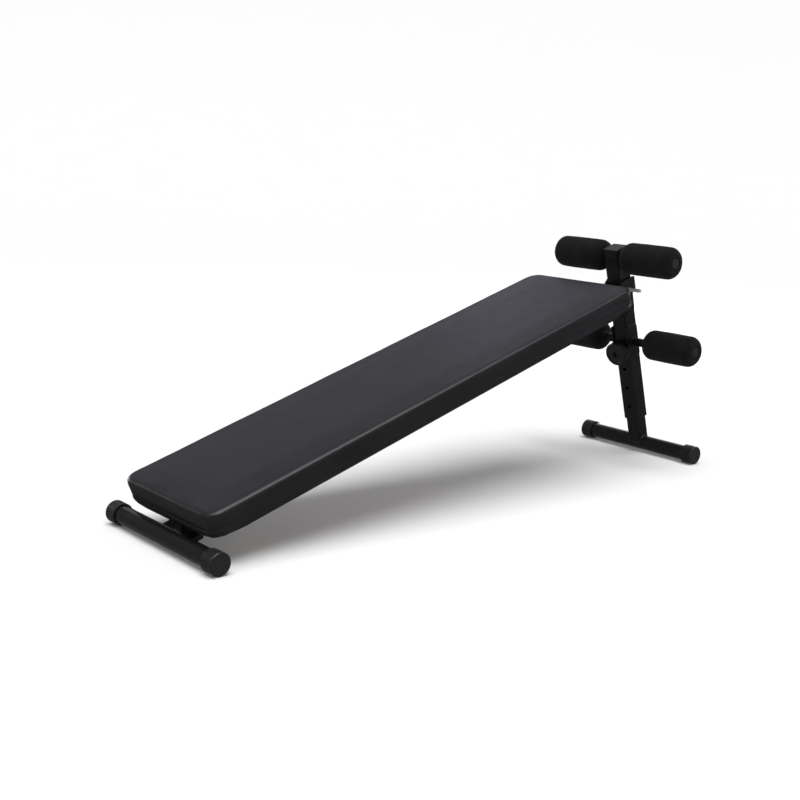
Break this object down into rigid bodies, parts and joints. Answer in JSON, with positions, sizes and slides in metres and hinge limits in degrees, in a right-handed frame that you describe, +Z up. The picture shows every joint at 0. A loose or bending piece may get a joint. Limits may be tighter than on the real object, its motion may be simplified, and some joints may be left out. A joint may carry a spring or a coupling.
{
  "type": "decline sit up bench",
  "caption": "Sloped sit up bench with a long padded board, foam ankle rollers on a folding post and a telescoping rear foot.",
  "frame": {"origin": "centre of the footprint, on the floor", "axes": "+X the bench's right side, +Y from the low front foot to the roller post, +Z up"},
  "size_m": [0.382, 1.321, 0.496],
  "materials": {
    "pad_vinyl": "satin grained vinyl",
    "pad_board": "plywood",
    "frame_steel": "satin black powder coat",
    "foot_steel": "gloss black powder coat",
    "end_cap_plastic": "moulded plastic",
    "top_cap_plastic": "moulded plastic",
    "roller_foam": "matte closed-cell foam",
    "plug_plastic": "moulded plastic",
    "nylon": "nylon",
    "knob_plastic": "ribbed moulded plastic",
    "zinc_hardware": "zinc plated",
    "black_hardware": "black zinc"
  },
  "bodies": {
    "bench": {"pad_cushion": "pad_vinyl", "pad_board": "pad_board", "pad_strap_front": "frame_steel", "pad_strap_rear": "frame_steel", "pad_bolts": "zinc_hardware", "main_beam": "frame_steel", "front_plate": "frame_steel", "foot_tab": "frame_steel", "front_foot_tube": "foot_steel", "front_foot_bolt": "black_hardware", "front_foot_nut": "zinc_hardware", "front_end_cap_left": "end_cap_plastic", "front_end_cap_right": "end_cap_plastic", "hinge_cheek_left": "frame_steel", "hinge_cheek_right": "frame_steel", "pivot_bolt": "black_hardware", "pivot_nut": "black_hardware"},
    "post": {"post_tube": "frame_steel", "post_top_cap": "top_cap_plastic", "post_liner": "nylon", "hinge_washers": "nylon", "upper_crossbar": "frame_steel", "lower_crossbar": "frame_steel", "crossbar_plate_left": "frame_steel", "crossbar_plate_right": "frame_steel", "crossbar_plugs": "plug_plastic", "roller_collars": "plug_plastic", "knob_bushing": "frame_steel", "rear_weld_nut": "black_hardware"},
    "leg": {"inner_leg_tube": "frame_steel", "rear_foot_tube": "foot_steel", "rear_end_cap_left": "end_cap_plastic", "rear_end_cap_right": "end_cap_plastic"},
    "knob": {"knob_head": "knob_plastic", "knob_pin": "zinc_hardware"},
    "lock_pin": {"lock_pin": "zinc_hardware"},
    "roller_upper_left": {"upper_roller_left": "roller_foam"},
    "roller_upper_right": {"upper_roller_right": "roller_foam"},
    "roller_lower_left": {"lower_roller_left": "roller_foam"},
    "roller_lower_right": {"lower_roller_right": "roller_foam"}
  },
  "joints": [
    {"name": "leg_fold", "type": "hinge", "parent": "bench", "child": "post", "pos_m": [0, 0.53532, 0.35658], "axis": [-1, 0, 0], "range_deg": [0, 70]},
    {"name": "height_slide", "type": "slide", "parent": "post", "child": "leg", "axis": [0, 0.2974, -0.9548], "range_m": [0, 0.1425]},
    {"name": "knob_pull", "type": "slide", "parent": "post", "child": "knob", "axis": [0, -0.9548, -0.2974], "range_m": [0, 0.012], "stiffness_N_per_m": 300},
    {"name": "lock_pin_pull", "type": "slide", "parent": "bench", "child": "lock_pin", "axis": [1, 0, 0], "range_m": [0, 0.03]},
    {"name": "upper_left_roller_turn", "type": "hinge", "parent": "post", "child": "roller_upper_left", "pos_m": [0, 0.5028, 0.461], "axis": [1, 0, 0], "continuous": true},
    {"name": "upper_right_roller_turn", "type": "hinge", "parent": "post", "child": "roller_upper_right", "pos_m": [0, 0.5028, 0.461], "axis": [1, 0, 0], "continuous": true},
    {"name": "lower_left_roller_turn", "type": "hinge", "parent": "post", "child": "roller_lower_left", "pos_m": [0, 0.56268, 0.26874], "axis": [1, 0, 0], "continuous": true},
    {"name": "lower_right_roller_turn", "type": "hinge", "parent": "post", "child": "roller_lower_right", "pos_m": [0, 0.56268, 0.26874], "axis": [1, 0, 0], "continuous": true}
  ]
}
